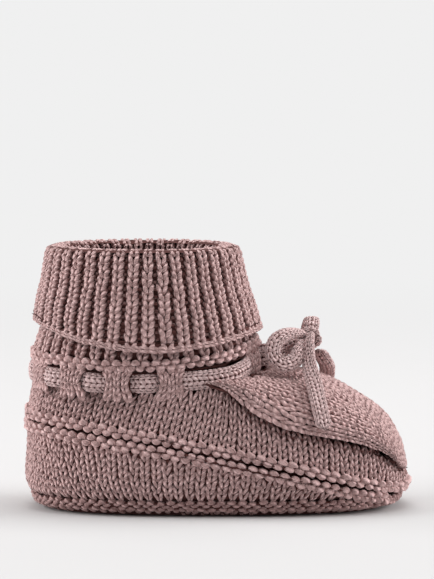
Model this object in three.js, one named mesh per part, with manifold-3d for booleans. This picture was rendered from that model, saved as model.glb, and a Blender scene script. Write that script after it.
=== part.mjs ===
// A baby's knitted bootie, in millimetres: +X to the toe, +Y to the left, +Z up.
// The origin is on the floor under the middle of the sole.
// The shoe is described as a knitter sees it, as rounds of fabric. Each round is an oval seen from
// above, and a wall is the fabric between two heights on those ovals.

import * as THREE from 'three';
import { mergeVertices } from 'three/addons/utils/BufferGeometryUtils.js';
import Module from 'manifold-3d';

const wasm = await Module();
wasm.setup();

// Driving dimensions
const FOOT_LENGTH = 105.4;
const FOOT_WIDTH = 55.2;
const FABRIC = 2.0;            // thickness of one layer of knitting
const JOIN = 0.3;              // gap where two pieces meet
const SOLE_EDGE = 4.1;         // height of the sole's rounded edge
const SOLE_FLOOR = 3.0;        // thickness of the sole under the foot
const WELT_HEEL = 24.4;        // height of the groove between the two welt ridges, at the heel
const WELT_FALL = 21.6;        // how far that groove falls along the foot
const RIDGE = 2.1;             // height of one welt ridge
const RIDGE_PROUD = 0.8;       // how far a ridge stands out of the wall
const OVERHANG = 1.2;          // how far the instep panel stands out over the side wall
const ANKLE_SETBACK = 2.3;     // from the back of the heel to the back of the ankle
const ANKLE_LENGTH = 62.7;     // front to back, outside
const ANKLE_WIDTH = 48.2;      // side to side, outside
const EYELET_BAND = 6.6;       // height of the round that carries the drawstring
const EYELET_WALL = 1.2;       // fabric in front of, over and under the drawstring
const CORD = 2.6;              // thickness of the drawstring
const ANKLE_RIDGE = 2.0;       // height of the purl ridge over the drawstring
const ANKLE_TOP = 67.0;        // top of the ankle rib, hidden in the cuff
const CUFF_TOP = 70.0;         // where the cuff starts to roll over
const CUFF_ROLL = 2.3;         // height of that roll
const CUFF_EDGE = 2.2;         // height of the bound-off edge
const LIP_DEPTH = 13.0;        // how far the cuff reaches down inside the ankle

// How finely the curves are cut into flat faces
const AROUND = 36;
const ACROSS = 12;
const ALONG = 8;
const SPREAD = 100;            // a radius well above every depth, used while a ring is still round

const HEEL = -FOOT_LENGTH / 2;
const TOE = FOOT_LENGTH / 2;
const ANKLE_BACK = HEEL + ANKLE_SETBACK;
const ANKLE_FRONT = ANKLE_BACK + ANKLE_LENGTH;
const ANKLE_MIDDLE = (ANKLE_BACK + ANKLE_FRONT) / 2;

// The outside of the foot, as ovals at rising heights: how far each lies inside the widest one.
const FOOT_ROUNDS = [
  { at: 0, back: 6.0, front: 8.5, side: 5.0, square: 0.78 },
  { at: 1.6, back: 2.6, front: 3.0, side: 2.0, square: 0.78 },
  { at: 4.2, back: 1.7, front: 1.6, side: 1.2, square: 0.78 },
  { at: 7, back: 0.3, front: 0.3, side: 0.2, square: 0.78 },
  { at: 10, back: 0, front: 0, side: 0, square: 0.78 },
  { at: 16, back: 0.4, front: 1.3, side: 0.3, square: 0.8 },
  { at: 22, back: 0.7, front: 3.6, side: 1.1, square: 0.82 },
  { at: 28, back: 1.0, front: 9.5, side: 2.2, square: 0.84 },
  { at: 34, back: 2.0, front: 19, side: 3.3, square: 0.86 },
  { at: 40, back: 2.4, front: 32, side: 3.8, square: 0.88 },
];

// The outside of the ankle, at rising heights: how far each oval lies inside the ankle's own size.
const ANKLE_ROUNDS = [
  { at: 30, back: 0, front: 0, side: 0, square: 0.84 },
  { at: 43, back: 0.1, front: 0.2, side: 0, square: 0.86 },
  { at: 48, back: 1.4, front: 2.4, side: 1.1, square: 0.9 },
  { at: 52, back: 3.2, front: 3.4, side: 1.7, square: 0.93 },
  { at: 60, back: 5.2, front: 6.2, side: 3.3, square: 0.96 },
  { at: 67, back: 6.2, front: 8.2, side: 4.8, square: 1 },
  { at: 72, back: 6.2, front: 8.2, side: 4.8, square: 1 },
];

// The inside of the turned-down cuff, from its loose edge (0) to the roll at its top (1): how far
// each oval lies inside the ankle's own size.
const CUFF_ROUNDS = [
  { at: 0, back: 1.9, front: 1.5, side: -0.6, square: 0.94, height: 0 },
  { at: 0.3, back: 2.6, front: 3.2, side: 0.1, square: 0.95, height: 0.3 },
  { at: 0.6, back: 3.9, front: 5.3, side: 1.6, square: 0.97, height: 0.6 },
  { at: 1, back: 5.2, front: 7.4, side: 3.8, square: 1, height: 1 },
];

// Heights of the loose edge of the cuff, and of the drawstring, along the ankle from back to front.
const CUFF_HEM = [
  { at: 0, height: 51.2 },
  { at: 0.25, height: 46.4 },
  { at: 0.55, height: 44.4 },
  { at: 0.8, height: 46.0 },
  { at: 1, height: 48.8 },
];
const EYELET_LINE = [
  { at: 0, height: 37.2 },
  { at: 0.4, height: 35.7 },
  { at: 0.8, height: 37.2 },
  { at: 1, height: 40.7 },
];

// Height of the fold under the instep panel, from the front of the ankle (0) to the toe (1).
const INSTEP_FOLD = [
  { at: -0.42, height: 36.5 },
  { at: -0.27, height: 34.6 },
  { at: -0.09, height: 28.6 },
  { at: 0.15, height: 23.7 },
  { at: 0.39, height: 21.5 },
  { at: 0.62, height: 19.4 },
  { at: 0.82, height: 16.0 },
  { at: 0.92, height: 12.8 },
  { at: 1, height: 10.4 },
];

// The instep panel from the ankle (0) to the toe (1): where its crest and its edge lie along the
// same way, and how high the crest is.
const INSTEP_ROWS = [
  { at: 0, crest: -0.3, height: 38.6, edge: -0.4 },
  { at: 0.2, crest: 0.22, height: 38.0, edge: -0.12 },
  { at: 0.4, crest: 0.45, height: 35.6, edge: 0.18 },
  { at: 0.6, crest: 0.66, height: 31.0, edge: 0.46 },
  { at: 0.8, crest: 0.85, height: 25.2, edge: 0.7 },
  { at: 0.92, crest: 0.95, height: 18.2, edge: 0.82 },
  { at: 1, crest: 0.994, height: 10.9, edge: 0.88 },
];
const INSTEP_FULLNESS = 0.82;  // under 1 makes the panel's cross-section fuller than an ellipse

// A smooth value between listed stations, with each station's slope taken from its neighbours.
function smooth(stations, at, key) {
  const last = stations.length - 1;
  let i = 0;
  while (i < last - 1 && stations[i + 1].at < at) i++;
  const slope = (k) => {
    const before = stations[Math.max(k - 1, 0)];
    const after = stations[Math.min(k + 1, last)];
    return (after[key] - before[key]) / (after.at - before.at);
  };
  const from = stations[i];
  const to = stations[i + 1];
  const span = to.at - from.at;
  const t = THREE.MathUtils.clamp((at - from.at) / span, 0, 1);
  const ease = t * t * (3 - 2 * t);
  const leave = t * (1 - t) ** 2 * span * slope(i);
  const arrive = t * t * (t - 1) * span * slope(i + 1);
  return from[key] + (to[key] - from[key]) * ease + leave + arrive;
}

// A point of an oval at one angle, its sides squared off a little.
function oval(angle, back, front, half, widest, square) {
  const along = Math.cos(angle);
  const aside = Math.sin(angle);
  const reach = along > 0 ? front - widest : widest - back;
  return new THREE.Vector3(
    widest + reach * Math.sign(along) * Math.abs(along) ** square,
    half * Math.sign(aside) * Math.abs(aside) ** square,
    0,
  );
}

// The oval's half width at one place along it.
function ovalHalf(x, back, front, half, widest, square) {
  const reach = x > widest ? front - widest : widest - back;
  const share = Math.min(Math.abs(x - widest) / reach, 1);
  return half * (1 - share ** (2 / square)) ** (square / 2);
}

function footSizes(z, depth = 0) {
  return [
    HEEL + smooth(FOOT_ROUNDS, z, 'back') + depth,
    TOE - smooth(FOOT_ROUNDS, z, 'front') - depth,
    FOOT_WIDTH / 2 - smooth(FOOT_ROUNDS, z, 'side') - depth,
    0,
    smooth(FOOT_ROUNDS, z, 'square'),
  ];
}

function ankleSizes(rounds, at, depth = 0) {
  return [
    ANKLE_BACK + smooth(rounds, at, 'back') + depth,
    ANKLE_FRONT - smooth(rounds, at, 'front') - depth,
    ANKLE_WIDTH / 2 - smooth(rounds, at, 'side') - depth,
    ANKLE_MIDDLE,
    smooth(rounds, at, 'square'),
  ];
}

function footAt(angle, z, depth = 0) {
  return oval(angle, ...footSizes(z, depth)).setZ(z);
}

function ankleAt(angle, z, depth = 0) {
  return oval(angle, ...ankleSizes(ANKLE_ROUNDS, z, depth)).setZ(z);
}

function cuffAt(angle, rise, depth = 0) {
  const point = oval(angle, ...ankleSizes(CUFF_ROUNDS, rise, depth - FABRIC));
  const hem = smooth(CUFF_HEM, (point.x - ANKLE_BACK) / ANKLE_LENGTH, 'height');
  return point.setZ(THREE.MathUtils.lerp(hem, CUFF_TOP, smooth(CUFF_ROUNDS, rise, 'height')));
}

// Lines drawn along the foot, each a height for a place along it
function welt(x) {
  const share = (x - HEEL) / FOOT_LENGTH;
  const level = WELT_HEEL - WELT_FALL * (share + share * share) / 2;
  const least = SOLE_EDGE + JOIN / 2;
  return (level + least + Math.hypot(level - least, 1.5)) / 2;
}

function instepFold(x) {
  return smooth(INSTEP_FOLD, (x - ANKLE_FRONT) / (TOE - ANKLE_FRONT), 'height');
}

function eyelets(x) {
  return smooth(EYELET_LINE, (x - ANKLE_BACK) / ANKLE_LENGTH, 'height');
}

// The height at which such a line crosses a wall at one angle.
function levelOn(wall, angle, line) {
  let low = 0;
  let high = CUFF_TOP;
  for (let i = 0; i < 24; i++) {
    const middle = (low + high) / 2;
    if (middle < line(wall(angle, middle).x)) low = middle;
    else high = middle;
  }
  return low;
}

// Moves every vertex of a plain form to its place on the shoe, and joins the ones that meet.
function shaped(geometry, place) {
  const position = geometry.getAttribute('position');
  for (let i = 0; i < position.count; i++) {
    const moved = place(position.getX(i), position.getY(i), position.getZ(i));
    position.setXYZ(i, moved.x, moved.y, moved.z);
  }
  geometry.deleteAttribute('normal');
  geometry.deleteAttribute('uv');
  return mergeVertices(geometry);
}

// A ring of fabric: an outline of [depth, rise] points, outside first and rising, carried once
// round the foot. place(angle, depth, rise) says where each of its points lies.
function ring(outline, place) {
  const profile = outline.map(([depth, rise]) => new THREE.Vector2(SPREAD - depth, rise));
  const lathe = new THREE.LatheGeometry([...profile, profile[0].clone()], AROUND);
  return shaped(lathe, (x, y, z) => place(Math.atan2(x, z), SPREAD - Math.hypot(x, z), y));
}

// A length of fabric that isn't a full ring. place(depth, u, v) has all three from 0 to 1, and
// depth 0 is outside.
function strip(layers, across, along, place) {
  const box = new THREE.BoxGeometry(1, 1, 1, layers, across, along);
  return shaped(box, (x, y, z) => place(0.5 - x, y + 0.5, z + 0.5));
}

// A plain wall's outline, cut into rows.
function wallOutline(thickness, rows) {
  const rises = Array.from({ length: rows + 1 }, (_, i) => i / rows);
  return [...rises.map((rise) => [0, rise]), ...rises.reverse().map((rise) => [thickness, rise])];
}

// A rounded ridge's outline: it stands proud of the wall and has a flat inside.
function ridgeOutline(proud, thickness) {
  return [[0, 0], [-proud, 0.3], [-proud, 0.7], [0, 1], [thickness, 1], [thickness, 0]];
}

function wallBetween(outline, wall, low, high) {
  return ring(outline, (angle, depth, rise) => {
    const bottom = levelOn(wall, angle, low);
    const top = levelOn(wall, angle, high);
    return wall(angle, THREE.MathUtils.lerp(bottom, top, rise), depth);
  });
}

// A part of such a wall, left open at the toe, between plus and minus the end angle.
function openWall(proud, thickness, end, wall, low, high, rows) {
  return strip(1, AROUND, rows, (depth, u, v) => {
    const angle = THREE.MathUtils.lerp(end, 2 * Math.PI - end, u);
    const bottom = levelOn(wall, angle, low);
    const top = levelOn(wall, angle, high);
    const bulge = proud * Math.sin(Math.PI * v) * (1 - depth);
    return wall(angle, THREE.MathUtils.lerp(bottom, top, v), depth * thickness - bulge);
  });
}

// The angle at which a line on the foot comes down to a height, seen from the toe.
function angleWhere(line, height) {
  let low = 0;
  let high = Math.PI / 2;
  for (let i = 0; i < 24; i++) {
    const middle = (low + high) / 2;
    if (line(footAt(middle, height).x) < height) low = middle;
    else high = middle;
  }
  return high;
}

function solid(geometry) {
  return new wasm.Manifold(new wasm.Mesh({
    numProp: 3,
    vertProperties: geometry.getAttribute('position').array,
    triVerts: Uint32Array.from(geometry.index.array),
  }));
}

function geometryOf(manifold) {
  const mesh = manifold.getMesh();
  const geometry = new THREE.BufferGeometry();
  geometry.setAttribute('position', new THREE.BufferAttribute(mesh.vertProperties, 3));
  geometry.setIndex(new THREE.BufferAttribute(mesh.triVerts, 1));
  return geometry;
}

// A round cord along a smooth line through the given points.
function cord(points, radius, steps, closed = false) {
  const section = new THREE.Shape(Array.from({ length: 8 }, (_, i) => {
    const angle = (i * Math.PI) / 4;
    return new THREE.Vector2(radius * Math.cos(angle), radius * Math.sin(angle));
  }));
  const extrudePath = new THREE.CatmullRomCurve3(points, closed);
  return new THREE.ExtrudeGeometry(section, { extrudePath, steps });
}

const group = new THREE.Group();

const YARN = { color: 0xa98a86, roughness: 0.95, metalness: 0 };
const YARN_SHADED = { color: 0x7d605d, roughness: 0.95, metalness: 0 };
const DRAWSTRING = { color: 0xb79b98, roughness: 0.9, metalness: 0 };

function add(name, geometry, look) {
  const flat = geometry.index ? geometry.toNonIndexed() : geometry;
  flat.computeVertexNormals();
  const mesh = new THREE.Mesh(flat, new THREE.MeshStandardMaterial(look));
  mesh.name = name;
  group.add(mesh);
  return mesh;
}

// Sole: a flat pad with a rounded edge. Rise is the true height here, and depth runs to the middle.
function sole() {
  const outline = [[1, 0], [0, 0], [0, 0.4], [0, 1], [0.05, 1], [0.1, SOLE_FLOOR / SOLE_EDGE],
    [1, SOLE_FLOOR / SOLE_EDGE]];
  const profile = outline.map(([depth, rise]) => new THREE.Vector2(1 - depth, rise));
  const lathe = new THREE.LatheGeometry(profile, AROUND);
  return shaped(lathe, (x, y, z) => {
    const edge = footAt(Math.atan2(x, z), y * SOLE_EDGE);
    return edge.multiplyScalar(Math.hypot(x, z)).setZ(y * SOLE_EDGE);
  });
}
add('sole', sole(), YARN_SHADED);

// Lower wall: a wedge from the sole up to the sloping welt, which runs out before the toe.
const bandLow = () => SOLE_EDGE + JOIN;
const bandHigh = (x) => welt(x) - RIDGE - 1.5 * JOIN;
const bandEnd = angleWhere(bandHigh, SOLE_EDGE + 3 * JOIN);
add('lower_wall', openWall(0, FABRIC, bandEnd, footAt, bandLow, bandHigh, 2), YARN);

const ridgeEnd = angleWhere((x) => welt(x) - RIDGE - JOIN / 2, SOLE_EDGE + JOIN);
const lowerRidge = [(x) => welt(x) - RIDGE - JOIN / 2, (x) => welt(x) - JOIN / 2];
add('welt_lower_ridge', openWall(RIDGE_PROUD, FABRIC, ridgeEnd, footAt, ...lowerRidge, 3), YARN);
const upperRidge = [(x) => welt(x) + JOIN / 2, (x) => welt(x) + RIDGE + JOIN / 2];
add('welt_upper_ridge',
  wallBetween(ridgeOutline(RIDGE_PROUD, FABRIC), footAt, ...upperRidge), YARN);

// Upper wall: the sides and the heel, up to the eyelet round and the fold under the instep panel.
const upperLow = (x) => welt(x) + RIDGE + 1.5 * JOIN;
const upperHigh = (x) => Math.min(instepFold(x), eyelets(x) - EYELET_BAND / 2) - JOIN;
function upperWall() {
  const wall = wallBetween(wallOutline(FABRIC, 3), footAt, upperLow, upperHigh);
  const panel = instepShell(-JOIN, FABRIC + JOIN);
  const lowered = panel.translate([0, 0, -0.35 * FABRIC]);
  return geometryOf(solid(wall).subtract(panel).subtract(lowered));
}
add('upper_wall', upperWall(), YARN);

// Eyelet round: a thick band with the drawstring's channel inside it. Windows in its outside show
// the drawstring, and the bridges of stitches between them hold it.
const CHANNEL = CORD + 2 * JOIN;
const BAND_THICKNESS = 2 * EYELET_WALL + CHANNEL;
const CHANNEL_HIGH = EYELET_BAND - 2 * EYELET_WALL;
const BRIDGES = [0.4, 1.41, 1.74, 2.2, 2.72]; // angles of the bridges' middles, from the front
const BRIDGE_HALF = 0.085;                   // half of a bridge's angle

function eyeletRing(grow, from, to) {
  const reach = EYELET_BAND / 2 + grow;
  return wallBetween(
    [[from, 0], [from, 1], [to, 1], [to, 0]],
    ankleAt,
    (x) => eyelets(x) - reach,
    (x) => eyelets(x) + reach,
  );
}

function eyeletWindow(from, to) {
  return strip(1, 6, 1, (depth, u, v) => {
    const angle = THREE.MathUtils.lerp(from, to, u);
    const middle = levelOn(ankleAt, angle, eyelets);
    const z = middle + CHANNEL_HIGH * (v - 0.5);
    return ankleAt(angle, z, THREE.MathUtils.lerp(-EYELET_WALL, EYELET_WALL + CHANNEL / 2, depth));
  });
}

function eyeletBand() {
  let band = solid(eyeletRing(0, 0, BAND_THICKNESS));
  const shrink = -EYELET_WALL;
  band = band.subtract(solid(eyeletRing(shrink, EYELET_WALL, EYELET_WALL + CHANNEL)));
  const edges = BRIDGES.flatMap((middle) => [middle - BRIDGE_HALF, middle + BRIDGE_HALF]);
  const openings = [[-edges[0], edges[0]]];
  for (let i = 1; i + 1 < edges.length; i += 2) openings.push([edges[i], edges[i + 1]]);
  const back = edges[edges.length - 1];
  openings.push([back, 2 * Math.PI - back]);
  for (const [from, to] of openings) {
    band = band.subtract(solid(eyeletWindow(from, to)));
    if (from > 0 && to < Math.PI) band = band.subtract(solid(eyeletWindow(-to, -from)));
  }
  return geometryOf(band);
}
add('eyelet_band', eyeletBand(), YARN);

// Instep panel: runs from the front of the eyelet round over the toes, and stands out over the
// side wall. u goes across it, from one edge over the crest to the other.
function instepAt(u, v) {
  const way = (share) => ANKLE_FRONT + share * (TOE - ANKLE_FRONT);
  const turn = THREE.MathUtils.lerp(-Math.PI / 2, Math.PI / 2, u);
  const rise = Math.cos(turn) ** INSTEP_FULLNESS;
  const edgeX = way(smooth(INSTEP_ROWS, v, 'edge'));
  const edgeZ = instepFold(edgeX);
  const half = ovalHalf(edgeX, ...footSizes(edgeZ)) + OVERHANG;
  return new THREE.Vector3(
    THREE.MathUtils.lerp(edgeX, way(smooth(INSTEP_ROWS, v, 'crest')), rise),
    half * Math.sin(turn),
    THREE.MathUtils.lerp(edgeZ, smooth(INSTEP_ROWS, v, 'height'), rise),
  );
}

function instepInwards(u, v) {
  const step = 0.01;
  const low = THREE.MathUtils.clamp(u, 0.02, 0.98);
  const across = instepAt(low + step, v).sub(instepAt(low - step, v));
  const near = Math.min(Math.max(v, step), 1 - step);
  const along = instepAt(low, near + step).sub(instepAt(low, near - step));
  return across.cross(along).normalize();
}

function instepShell(outside, inside) {
  return solid(strip(1, ACROSS, ALONG, (depth, u, v) => {
    const offset = instepInwards(u, 1 - v).multiplyScalar(THREE.MathUtils.lerp(outside, inside, depth));
    return instepAt(u, 1 - v).add(offset);
  }));
}
const bandClearance = solid(eyeletRing(JOIN, -JOIN, SPREAD / 5));
add('instep_panel', geometryOf(instepShell(0, FABRIC).subtract(bandClearance)), YARN);

// Purl ridge over the drawstring, and the ankle rib, whose top is hidden inside the cuff.
const ridgeLow = (x) => eyelets(x) + EYELET_BAND / 2 + JOIN;
const ridgeHigh = (x) => ridgeLow(x) + ANKLE_RIDGE;
add('ankle_ridge', wallBetween(ridgeOutline(0.4, FABRIC), ankleAt, ridgeLow, ridgeHigh), YARN);
const ribLow = (x) => ridgeHigh(x) + JOIN;
add('ankle_rib',
  wallBetween(wallOutline(FABRIC, 4), ankleAt, ribLow, () => ANKLE_TOP), YARN_SHADED);

// The cuff, which slides up over the ankle rib: a lip inside the ankle, the roll at the top, the
// ribbed flap outside and its bound-off edge.
const LIP_OUTSIDE = ankleSizes(ANKLE_ROUNDS, ANKLE_TOP, FABRIC + JOIN);
function lipAt(angle, rise, depth) {
  const [back, front, half, widest, square] = LIP_OUTSIDE;
  const point = oval(angle, back + depth, front - depth, half - depth, widest, square);
  return point.setZ(THREE.MathUtils.lerp(CUFF_TOP - JOIN - LIP_DEPTH, CUFF_TOP - JOIN, rise));
}
add('cuff_lip', ring(wallOutline(FABRIC, 1), (a, depth, rise) => lipAt(a, rise, depth)), YARN);

function cuffRoll() {
  const outline = [[0, 0], [0.06, 0.45], [0.22, 0.85], [0.5, 1], [0.78, 0.85], [0.94, 0.45],
    [1, 0]];
  return ring(outline, (angle, depth, rise) => {
    const outside = cuffAt(angle, 1);
    const inside = lipAt(angle, 1, FABRIC);
    return outside.lerp(inside, depth).setZ(CUFF_TOP + rise * CUFF_ROLL);
  });
}
add('cuff_roll', cuffRoll(), YARN);

const EDGE_SHARE = CUFF_EDGE / (CUFF_TOP - CUFF_HEM[0].height);
function cuffFlap(angle, depth, rise) {
  const point = cuffAt(angle, THREE.MathUtils.lerp(EDGE_SHARE, 1, rise), depth);
  return point.setZ(point.z - JOIN * rise);
}
add('cuff_flap', ring(wallOutline(FABRIC, 3), cuffFlap), YARN);

function cuffEdge(angle, depth, rise) {
  const low = cuffAt(angle, 0, depth);
  const high = cuffAt(angle, EDGE_SHARE, depth);
  return low.lerp(high, rise).setZ(THREE.MathUtils.lerp(low.z, high.z - JOIN, rise));
}
add('cuff_edge', ring(ridgeOutline(0.5, FABRIC), cuffEdge), YARN);

// Drawstring: round the back of the ankle in its channel, and out through the front window.
const CORD_DEPTH = EYELET_WALL + CHANNEL / 2;
const FRONT_BRIDGE = BRIDGES[0] - BRIDGE_HALF;
const CORD_END = [1.6, 4.2, 0.5];            // from the front of the ankle, forwards, aside and up
function emerging(side) {
  const height = eyelets(ANKLE_FRONT);
  const leaving = ankleAt(side * FRONT_BRIDGE * 0.65, height + CORD_END[2] / 2, EYELET_WALL);
  const [forwards, aside, up] = CORD_END;
  return [new THREE.Vector3(ANKLE_FRONT + forwards, side * aside, height + up), leaving];
}
function drawstringPoints() {
  const points = emerging(1);
  const turns = 24;
  for (let i = 0; i <= turns; i++) {
    const angle = THREE.MathUtils.lerp(FRONT_BRIDGE, 2 * Math.PI - FRONT_BRIDGE, i / turns);
    points.push(ankleAt(angle, levelOn(ankleAt, angle, eyelets), CORD_DEPTH));
  }
  return [...points, ...emerging(-1).reverse()];
}
add('drawstring', cord(drawstringPoints(), CORD / 2, 48), DRAWSTRING);

// Bow: all its points are given from the middle of the knot.
const KNOT = new THREE.Vector3(ANKLE_FRONT + 13, 0, eyelets(ANKLE_FRONT) + 5);
const KNOT_RADII = new THREE.Vector3(3.4, 3.2, 2.7);
const BOW_CORD = 1.4;

// side is 1 on the left and -1 on the right, where the same points are seen in a mirror.
function bowPoints(side, points) {
  return points.map(([x, y, z]) => new THREE.Vector3(x, side * y, z).add(KNOT));
}

add('bow_knot', new THREE.SphereGeometry(1, 14, 10)
  .scale(...KNOT_RADII.toArray()).translate(...KNOT.toArray()), DRAWSTRING);

const LACE = [[-10.9, 3.9, -4.2], [-8.4, 3.5, -3.4], [-5.8, 2.9, -2.1], [-3.3, 1.9, -1]];
const BOW_SIDES = {
  right: {
    side: -1,
    loop: [[-0.8, 3.4, 1.3], [-3.2, 7.2, 1.3], [-7, 11.2, 0.2], [-9.8, 13.8, -2.4],
      [-9.6, 15, -5], [-6.8, 14.8, -6.6], [-3.6, 12.4, -6], [-1.6, 8.6, -4.4], [0.1, 3.4, -1.8]],
    tail: [[3, 3.5, 1], [2.6, 6.4, 0.7], [1.6, 9.6, -1.6], [0.7, 12.6, -4.6], [0.6, 15.9, -8],
      [1.1, 20.6, -11.4], [1.8, 25.3, -16.4], [2.3, 27.7, -21.8]],
  },
  left: {
    side: 1,
    loop: [[-0.2, 3.4, 1.5], [1.4, 7.2, 2.4], [1.4, 11, 2.2], [-1.8, 14.8, 0.8],
      [-5.6, 16.2, -2.2], [-6.2, 15.4, -5.4], [-3.6, 12.4, -6.2], [-1.6, 8.6, -4.4],
      [0.1, 3.4, -1.8]],
    tail: [[3.2, 1.9, -2], [4.4, 4.8, -4.4], [5, 8.2, -6.4], [5.4, 12.6, -8.7], [5.4, 17.4, -11.2],
      [5.2, 22.4, -14.8], [5, 26.6, -20], [4.8, 28.2, -25]],
  },
};
for (const [name, { side, loop, tail }] of Object.entries(BOW_SIDES)) {
  add(`lace_${name}`, cord(bowPoints(side, LACE), BOW_CORD, 5), DRAWSTRING);
  add(`bow_loop_${name}`, cord(bowPoints(side, loop), BOW_CORD, 18), DRAWSTRING);
  add(`bow_tail_${name}`, cord(bowPoints(side, tail), BOW_CORD, 12), DRAWSTRING);
}

export default group;
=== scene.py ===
# %% [markdown]
# # A baby's knitted bootie
# The real shoe is one cotton yarn, looped thousands of times. Its looks are those loops: V's
# in the plain fabric, short bars in the ridges and deep valleys in the ribs. A bump map would go
# flat at the outline, so each loop here is a small closed tube, modelled once and copied over the
# shoe's surfaces. The load comes first, because every place and size is taken from the frame.

# %% Load the frame
import math

import bpy
import numpy as np
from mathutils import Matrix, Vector


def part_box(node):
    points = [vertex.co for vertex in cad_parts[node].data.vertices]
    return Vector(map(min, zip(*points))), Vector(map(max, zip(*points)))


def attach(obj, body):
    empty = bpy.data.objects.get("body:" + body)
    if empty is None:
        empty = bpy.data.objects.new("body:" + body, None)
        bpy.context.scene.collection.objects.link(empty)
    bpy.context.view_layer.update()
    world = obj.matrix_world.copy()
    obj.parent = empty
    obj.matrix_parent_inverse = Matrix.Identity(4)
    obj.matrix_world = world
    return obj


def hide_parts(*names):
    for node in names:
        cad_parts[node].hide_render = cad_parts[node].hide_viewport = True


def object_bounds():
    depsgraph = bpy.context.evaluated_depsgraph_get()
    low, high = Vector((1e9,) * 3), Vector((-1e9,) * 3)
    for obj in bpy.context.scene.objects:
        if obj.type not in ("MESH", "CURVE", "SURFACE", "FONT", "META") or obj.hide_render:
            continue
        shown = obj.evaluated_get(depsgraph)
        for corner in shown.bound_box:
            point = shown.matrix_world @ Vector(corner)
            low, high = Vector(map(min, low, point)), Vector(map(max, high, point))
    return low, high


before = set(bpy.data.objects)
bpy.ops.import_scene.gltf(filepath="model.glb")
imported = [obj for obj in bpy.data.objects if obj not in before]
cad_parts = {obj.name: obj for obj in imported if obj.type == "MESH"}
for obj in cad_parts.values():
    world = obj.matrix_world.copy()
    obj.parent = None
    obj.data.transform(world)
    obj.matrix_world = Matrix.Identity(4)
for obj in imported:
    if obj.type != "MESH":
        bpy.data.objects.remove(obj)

cad_low, cad_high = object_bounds()
MM = 0.001
print("nodes in the frame:", len(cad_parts))

# %% [markdown]
# ## Camera
# A shoe is best shown from its side, a little above the floor and through a long lens, so that the
# heel and the toe keep their true sizes. The picture's height at the shoe sets the lens.

# %% Camera
DISTANCE = 1.1
ELEVATION = math.radians(5)
PICTURE_HEIGHT = 0.1577
FILM = 36.0

aim = Vector((0, 0, 0.816 * cad_high.z))
back = Vector((0, -math.cos(ELEVATION), math.sin(ELEVATION)))
camera = bpy.data.objects.new("camera", bpy.data.cameras.new("camera"))
bpy.context.scene.collection.objects.link(camera)
camera.location = aim + DISTANCE * back
camera.rotation_euler = (-back).to_track_quat("-Z", "Y").to_euler()
camera.data.sensor_width = FILM
camera.data.lens = FILM * DISTANCE / PICTURE_HEIGHT
camera.data.clip_start = 0.05
bpy.context.scene.camera = camera
print("lens", round(camera.data.lens), "mm")

# %% [markdown]
# ## Finishes
# One dusty pink cotton yarn makes the whole shoe. Its plies wind round each other, so every loop
# has slanting lines, and the cotton is matt with a little down on it. The node graph is written as
# sums: this small class wraps a socket, so that `2 * mask + 1` adds the Math nodes it needs.

# %% Shader sums
class Wire:
    """A value in a material. Sums on it add Math nodes, and node() adds any other."""

    def __init__(self, tree, socket=None):
        self.tree = tree
        self.socket = socket

    def node(self, kind, inputs, output=0, **settings):
        made = self.tree.nodes.new(kind)
        for name, value in settings.items():
            setattr(made, name, value)
        for name, value in inputs.items():
            if isinstance(value, Wire):
                self.tree.links.new(made.inputs[name], value.socket)
            else:
                made.inputs[name].default_value = value
        return Wire(self.tree, made.outputs[output])

    def maths(self, operation, first, second=0.0, clamp=False):
        return self.node("ShaderNodeMath", {0: first, 1: second}, operation=operation, use_clamp=clamp)

    def __add__(self, other):
        return self.maths("ADD", self, other)

    def __mul__(self, other):
        return self.maths("MULTIPLY", self, other)

    __radd__ = __add__
    __rmul__ = __mul__


def between(wire, share, first, second):
    """A colour between two others. Sockets 0, 6 and 7 are the colour mixer's share and colours."""
    return wire.node("ShaderNodeMix", {0: share, 6: first, 7: second}, output=2, data_type="RGBA")


# %% Cotton yarn
PLY_PITCH = 1.5        # mm of yarn for one turn of its plies
PLIES = 2


def new_finish(name):
    """An empty material: its shader, a wire to start sums from, and the place on the piece."""
    material = bpy.data.materials.new(name)
    material.use_nodes = True
    start = Wire(material.node_tree)
    place = start.node("ShaderNodeTexCoord", {}, output="Object")
    return material, start, place


def cotton(name, light, dark, twist=1.0):
    """Plied cotton: slanting plies on the loop's own map, with painted shade between the plies and where it
    sinks into the fabric.
    """
    material, start, place = new_finish(name)
    tree = material.node_tree
    shader = tree.nodes["Principled BSDF"]
    yarn = start.node("ShaderNodeUVMap", {}, uv_map="yarn")
    along = start.node("ShaderNodeSeparateXYZ", {0: yarn}, output=0)
    around = start.node("ShaderNodeSeparateXYZ", {0: yarn}, output=1)
    fibres = start.node("ShaderNodeTexNoise", {"Vector": place, "Scale": 2600.0, "Detail": 3.0})
    patches = start.node("ShaderNodeTexNoise", {"Vector": place, "Scale": 160.0, "Detail": 2.0})
    wound = (along * (1 / PLY_PITCH) + around * PLIES) * (2 * math.pi) + fibres * 1.6
    plies = start.maths("SINE", wound) * 0.5 + 0.5
    shade = start.node("ShaderNodeAttribute", {}, output="Fac", attribute_name="shade")
    sunk = start.node("ShaderNodeAttribute", {}, output="Fac", attribute_name="sunk")
    # The plies' stripes in the colour are painted shade in the grooves between plies; fibres, patches and
    # shade are random tone.
    lit = plies * (0.46 * twist) + fibres * 0.3 + patches * 0.22 + shade * 0.16 + 0.14
    # Painted shade: the colour darkens where the yarn sinks into the fabric.
    share = start.maths("SUBTRACT", lit, sunk * 0.8, clamp=True)
    tree.links.new(shader.inputs["Base Color"], between(start, share, dark, light).socket)
    rise = plies * twist + fibres * 0.7
    bump = start.node("ShaderNodeBump", {"Height": rise, "Distance": 0.0005, "Strength": 1.0})
    tree.links.new(shader.inputs["Normal"], bump.socket)
    shader.inputs["Roughness"].default_value = 0.92
    shader.inputs["Specular IOR Level"].default_value = 0.25
    shader.inputs["Sheen Weight"].default_value = 0.5
    shader.inputs["Sheen Roughness"].default_value = 0.55
    shader.inputs["Sheen Tint"].default_value = (0.95, 0.72, 0.7, 1)
    return material


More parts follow.
